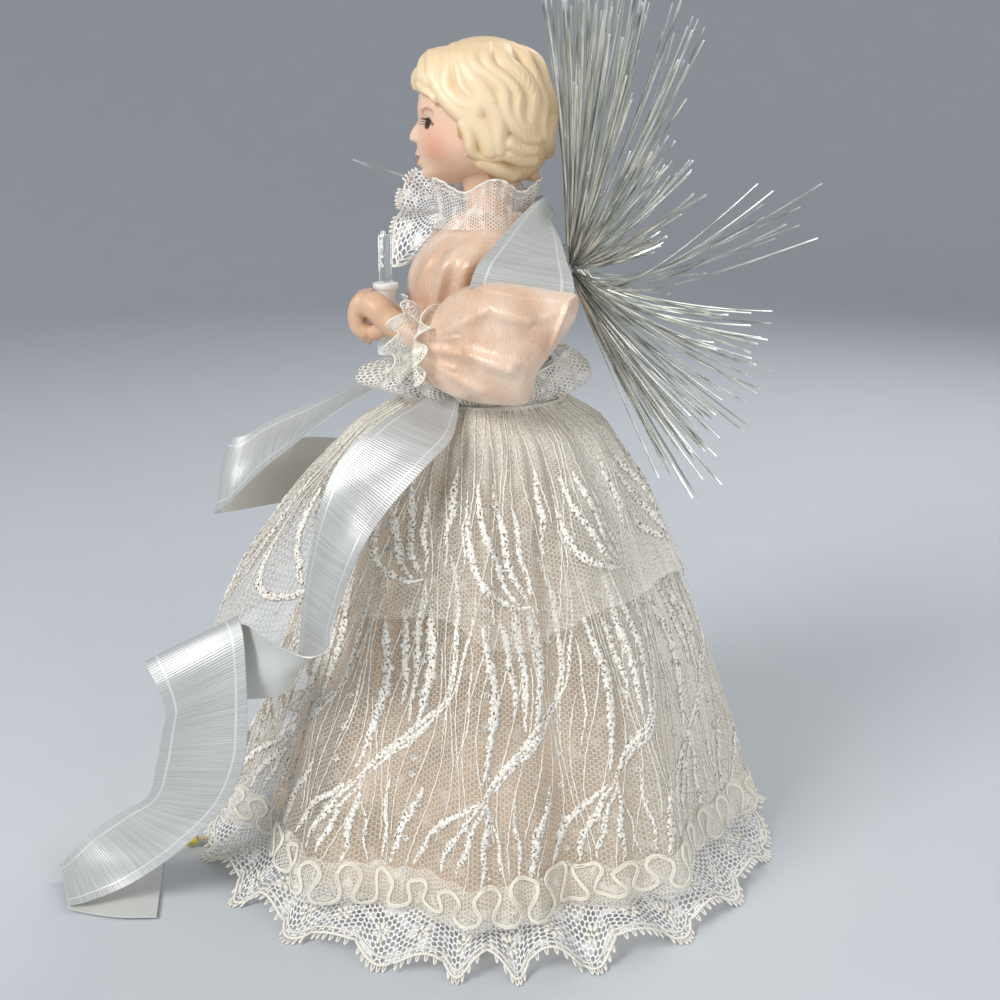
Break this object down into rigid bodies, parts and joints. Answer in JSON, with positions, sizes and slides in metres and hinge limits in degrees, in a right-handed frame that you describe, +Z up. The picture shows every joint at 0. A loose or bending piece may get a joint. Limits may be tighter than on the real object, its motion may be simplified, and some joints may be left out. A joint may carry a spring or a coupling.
{
  "type": "tree topper",
  "caption": "Dressed angel tree topper holding a candle, with sprays of light strands behind, a lamp and colour wheel in its skirt cone and a cup for the tip of a tree.",
  "frame": {"origin": "middle of the cone's open foot, on the surface it stands on", "axes": "+Z up along the cone, -Y the way the angel faces, +X the angel's left"},
  "size_m": [0.2174, 0.2792, 0.3133],
  "materials": {
    "cone_plastic": "matte moulded",
    "deck_plastic": "matte moulded",
    "steel": "plain",
    "brass": "polished",
    "wheel_film": "clear tinted film",
    "lamp_glass": "clear",
    "holder_plastic": "smooth",
    "gland_rubber": "matte",
    "fibre": "clear drawn strand",
    "torso_stuffing": "stuffed cloth",
    "satin": "satin weave",
    "lace": "embroidered net",
    "hem_lace": "scalloped lace",
    "braid": "gimp braid",
    "ribbon": "wired woven ribbon",
    "bisque": "bisque",
    "hand_bisque": "bisque",
    "candle_plastic": "smooth white",
    "clear_acrylic": "clear",
    "cord_cotton": "twisted cotton",
    "binding_thread": "wound thread"
  },
  "bodies": {
    "figure": {"cone_form": "cone_plastic", "lamp_deck": "deck_plastic", "tree_socket": "deck_plastic", "socket_screw_front": "steel", "socket_screw_back": "steel", "motor": "steel", "lamp_holder": "holder_plastic", "lamp": "lamp_glass", "ferrule": "brass", "ferrule_bracket": "steel", "bracket_screw": "steel", "lead_gland": "gland_rubber", "fibre_trunk": "fibre", "fibre_hub": "holder_plastic", "fibre_spray_upper_left": "fibre", "fibre_spray_upper_right": "fibre", "fibre_spray_lower_left": "fibre", "fibre_spray_lower_right": "fibre", "torso_form": "torso_stuffing", "shoulder_bar": "steel", "bodice": "satin", "head": "bisque", "collar": "hem_lace", "underskirt": "satin", "overskirt": "lace", "peplum": "lace", "hem_ruffle": "hem_lace", "hem_braid": "braid", "waist_sash": "ribbon", "left_strap": "ribbon", "right_strap": "ribbon", "left_streamer": "ribbon", "right_streamer": "ribbon", "hem_cord_end": "cord_cotton", "hem_cord_binding": "binding_thread"},
    "left_arm": {"left_arm_wire": "steel", "left_sleeve": "satin", "left_cuff": "hem_lace", "left_hand": "hand_bisque", "candle": "candle_plastic", "candle_rod": "clear_acrylic"},
    "right_arm": {"right_arm_wire": "steel", "right_sleeve": "satin", "right_cuff": "hem_lace", "right_hand": "hand_bisque"},
    "color_wheel": {"wheel_shaft": "steel", "color_wheel": "wheel_film"}
  },
  "joints": [
    {"name": "left_arm_swing", "type": "hinge", "parent": "figure", "child": "left_arm", "pos_m": [0.038, 0.004, 0.216], "axis": [0, 0, 1], "range_deg": [0, 20]},
    {"name": "right_arm_swing", "type": "hinge", "parent": "figure", "child": "right_arm", "pos_m": [-0.038, 0.004, 0.216], "axis": [0, 0, -1], "range_deg": [0, 20]},
    {"name": "color_wheel_spin", "type": "hinge", "parent": "figure", "child": "color_wheel", "pos_m": [-0.009, 0, 0.115], "axis": [0, 0, 1], "continuous": true}
  ]
}
